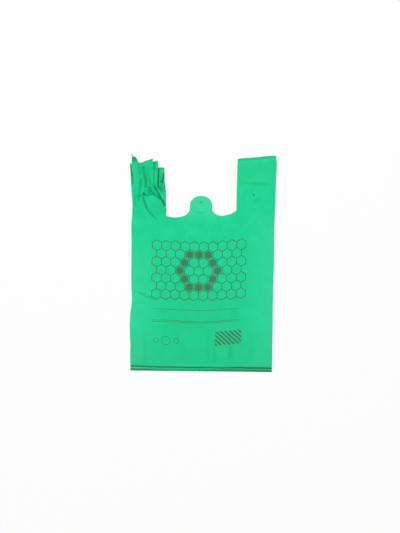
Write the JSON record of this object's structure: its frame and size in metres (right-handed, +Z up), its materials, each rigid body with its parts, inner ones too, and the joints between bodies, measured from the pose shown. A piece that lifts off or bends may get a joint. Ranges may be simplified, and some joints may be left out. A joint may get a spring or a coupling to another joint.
{
  "type": "non-woven t-shirt bag",
  "caption": "Flat gusseted carrier bag of non-woven cloth with vest-shaped handles, a round hanging tab between them and one handle bunched into pleats.",
  "frame": {"origin": "on the table under the middle of the bag's box", "axes": "+X across the face to the flat handle's side, +Y from the bottom weld up to the handles, +Z up from the table out of the printed face"},
  "size_m": [0.305, 0.46, 0.0132],
  "materials": {
    "cloth": "matt spun-bonded polypropylene with a fine bonding emboss"
  },
  "bodies": {
    "root": {"tshirt_bag": "cloth"}
  },
  "joints": []
}
